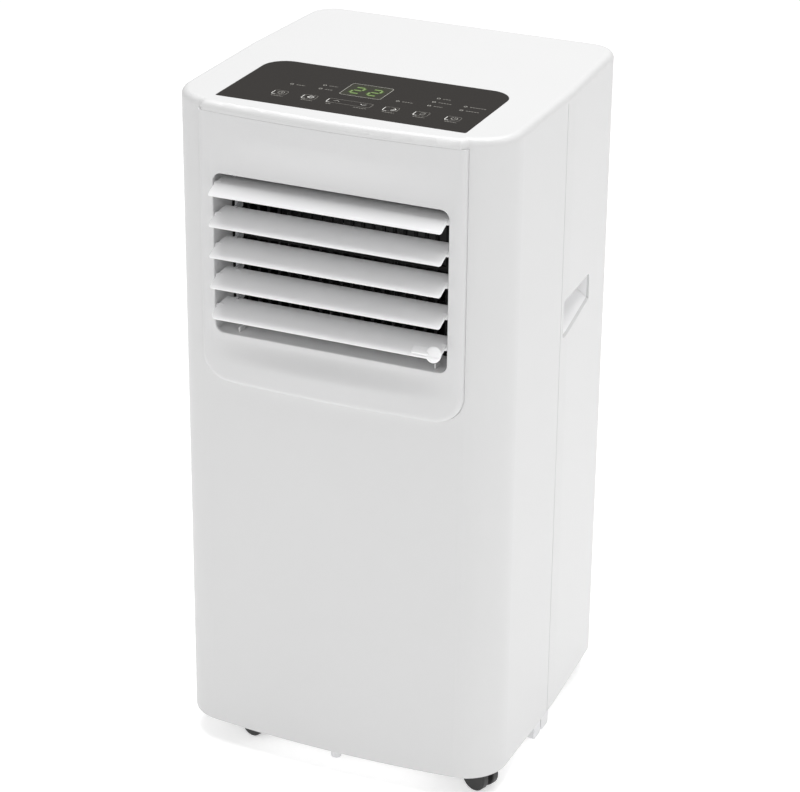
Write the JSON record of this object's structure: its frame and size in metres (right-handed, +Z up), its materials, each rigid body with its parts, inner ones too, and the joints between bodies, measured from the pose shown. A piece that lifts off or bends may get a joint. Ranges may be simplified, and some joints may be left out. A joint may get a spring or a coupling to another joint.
{
  "type": "portable air conditioner",
  "caption": "Upright floor-standing portable air conditioner on swivel castors, with hand-tilted front louvres, a top control panel, side handle recesses and a rear exhaust collar.",
  "frame": {"origin": "on the floor, under the middle of the whole unit", "axes": "+Z up, -Y towards the front with the louvres, +X to the right as seen from the front"},
  "size_m": [0.348, 0.36, 0.703],
  "materials": {
    "black_metal": "gloss enamel",
    "black_plastic": "matte",
    "black_rubber": "matte",
    "board": "solder mask",
    "casing": "fine satin moulded",
    "copper": "bare tube",
    "dark_grille": "matte",
    "display": "gloss tinted",
    "fins": "bare",
    "frame": "fine satin moulded",
    "galvanised": "plated",
    "grey_plastic": "satin",
    "louvre": "smooth satin",
    "mesh": "woven mesh",
    "panel_film": "semi-gloss printed film",
    "tunnel": "satin",
    "white_plastic": "satin"
  },
  "bodies": {
    "cabinet": {"front_casing": "casing", "rear_casing": "casing", "side_panel_left": "casing", "side_panel_right": "casing", "top_cover": "casing", "control_panel": "panel_film", "display_window": "display", "display_module": "black_plastic", "control_board": "board", "casing_screws": "galvanised", "outlet_frame": "frame", "outlet_guard": "dark_grille", "air_duct": "tunnel", "handle_cup_left": "casing", "handle_cup_right": "casing", "base_pan": "casing", "middle_foot": "grey_plastic", "seam_lugs": "grey_plastic", "castor_sockets": "black_plastic", "float_stem": "white_plastic", "drip_tray": "white_plastic", "upper_blower_housing": "white_plastic", "upper_fan_motor": "galvanised", "lower_blower_housing": "white_plastic", "lower_fan_motor": "galvanised", "evaporator_fins": "fins", "evaporator_tubes": "copper", "condenser_fins": "fins", "condenser_tubes": "copper", "compressor": "black_metal", "compressor_feet": "black_rubber", "accumulator": "black_metal", "refrigerant_pipes": "copper", "electrical_box": "galvanised", "exhaust_collar": "casing", "lower_grille": "casing", "drain_spouts": "white_plastic", "drain_hose": "black_rubber", "mains_inlet": "black_plastic"},
    "louvre_1": {"louvre_1": "louvre"},
    "louvre_2": {"louvre_2": "louvre"},
    "louvre_3": {"louvre_3": "louvre"},
    "louvre_4": {"louvre_4": "louvre"},
    "louvre_5": {"louvre_5": "louvre"},
    "louvre_link": {"louvre_link": "grey_plastic"},
    "castor_fork_1": {"castor_fork_1": "black_plastic"},
    "castor_wheels_1": {"castor_wheels_1": "black_plastic"},
    "castor_fork_2": {"castor_fork_2": "black_plastic"},
    "castor_wheels_2": {"castor_wheels_2": "black_plastic"},
    "castor_fork_3": {"castor_fork_3": "black_plastic"},
    "castor_wheels_3": {"castor_wheels_3": "black_plastic"},
    "castor_fork_4": {"castor_fork_4": "black_plastic"},
    "castor_wheels_4": {"castor_wheels_4": "black_plastic"},
    "upper_fan": {"upper_fan_wheel": "black_plastic"},
    "lower_fan": {"lower_fan_wheel": "black_plastic"},
    "rear_grille": {"upper_grille": "casing", "air_filter": "mesh"},
    "upper_plug": {"upper_drain_plug": "black_rubber"},
    "lower_plug": {"lower_drain_plug": "black_rubber"},
    "float": {"pan_float": "white_plastic"}
  },
  "joints": [
    {"name": "louvre_1_tilt", "type": "hinge", "parent": "cabinet", "child": "louvre_1", "pos_m": [0, -0.16, 0.6205], "axis": [1, 0, 0], "range_deg": [-20, 38]},
    {"name": "louvre_2_tilt", "type": "hinge", "parent": "cabinet", "child": "louvre_2", "pos_m": [0, -0.16, 0.589], "axis": [1, 0, 0], "range_deg": [-20, 38]},
    {"name": "louvre_3_tilt", "type": "hinge", "parent": "cabinet", "child": "louvre_3", "pos_m": [0, -0.16, 0.5575], "axis": [1, 0, 0], "range_deg": [-20, 38]},
    {"name": "louvre_4_tilt", "type": "hinge", "parent": "cabinet", "child": "louvre_4", "pos_m": [0, -0.16, 0.526], "axis": [1, 0, 0], "range_deg": [-20, 38]},
    {"name": "louvre_5_tilt", "type": "hinge", "parent": "cabinet", "child": "louvre_5", "pos_m": [0, -0.16, 0.4945], "axis": [1, 0, 0], "range_deg": [-20, 38]},
    {"name": "louvre_link_pivot", "type": "hinge", "parent": "louvre_5", "child": "louvre_link", "pos_m": [-0.1116, -0.134, 0.498], "axis": [1, 0, 0], "range_deg": [-38, 20]},
    {"name": "castor_1_swivel", "type": "hinge", "parent": "cabinet", "child": "castor_fork_1", "pos_m": [-0.126, -0.117, 0.04], "axis": [0, 0, 1], "continuous": true},
    {"name": "castor_1_roll", "type": "hinge", "parent": "castor_fork_1", "child": "castor_wheels_1", "pos_m": [-0.10157, -0.12589, 0.015], "axis": [0.342, 0.9397, 0], "continuous": true},
    {"name": "castor_2_swivel", "type": "hinge", "parent": "cabinet", "child": "castor_fork_2", "pos_m": [0.126, -0.117, 0.04], "axis": [0, 0, 1], "continuous": true},
    {"name": "castor_2_roll", "type": "hinge", "parent": "castor_fork_2", "child": "castor_wheels_2", "pos_m": [0.15043, -0.12589, 0.015], "axis": [0.342, 0.9397, 0], "continuous": true},
    {"name": "castor_3_swivel", "type": "hinge", "parent": "cabinet", "child": "castor_fork_3", "pos_m": [-0.126, 0.12, 0.04], "axis": [0, 0, 1], "continuous": true},
    {"name": "castor_3_roll", "type": "hinge", "parent": "castor_fork_3", "child": "castor_wheels_3", "pos_m": [-0.152, 0.12, 0.015], "axis": [0, 1, 0], "continuous": true},
    {"name": "castor_4_swivel", "type": "hinge", "parent": "cabinet", "child": "castor_fork_4", "pos_m": [0.126, 0.12, 0.04], "axis": [0, 0, 1], "continuous": true},
    {"name": "castor_4_roll", "type": "hinge", "parent": "castor_fork_4", "child": "castor_wheels_4", "pos_m": [0.1, 0.12, 0.015], "axis": [0, 1, 0], "continuous": true},
    {"name": "upper_fan_spin", "type": "hinge", "parent": "cabinet", "child": "upper_fan", "pos_m": [0, 0.01, 0.552], "axis": [0, 1, 0], "continuous": true},
    {"name": "lower_fan_spin", "type": "hinge", "parent": "cabinet", "child": "lower_fan", "pos_m": [0, 0.02, 0.155], "axis": [0, 1, 0], "continuous": true},
    {"name": "rear_grille_pull", "type": "slide", "parent": "cabinet", "child": "rear_grille", "axis": [0, 1, 0], "range_m": [0, 0.06]},
    {"name": "upper_plug_pull", "type": "slide", "parent": "cabinet", "child": "upper_plug", "axis": [0, 1, 0], "range_m": [0, 0.025]},
    {"name": "lower_plug_pull", "type": "slide", "parent": "cabinet", "child": "lower_plug", "axis": [0, 1, 0], "range_m": [0, 0.025]},
    {"name": "float_rise", "type": "slide", "parent": "cabinet", "child": "float", "axis": [0, 0, 1], "range_m": [0, 0.012]}
  ],
  "couplings": [
    {"joint": "louvre_1_tilt", "follows": "louvre_5_tilt", "ratio": 1},
    {"joint": "louvre_2_tilt", "follows": "louvre_5_tilt", "ratio": 1},
    {"joint": "louvre_3_tilt", "follows": "louvre_5_tilt", "ratio": 1},
    {"joint": "louvre_4_tilt", "follows": "louvre_5_tilt", "ratio": 1},
    {"joint": "louvre_link_pivot", "follows": "louvre_5_tilt", "ratio": -1}
  ]
}
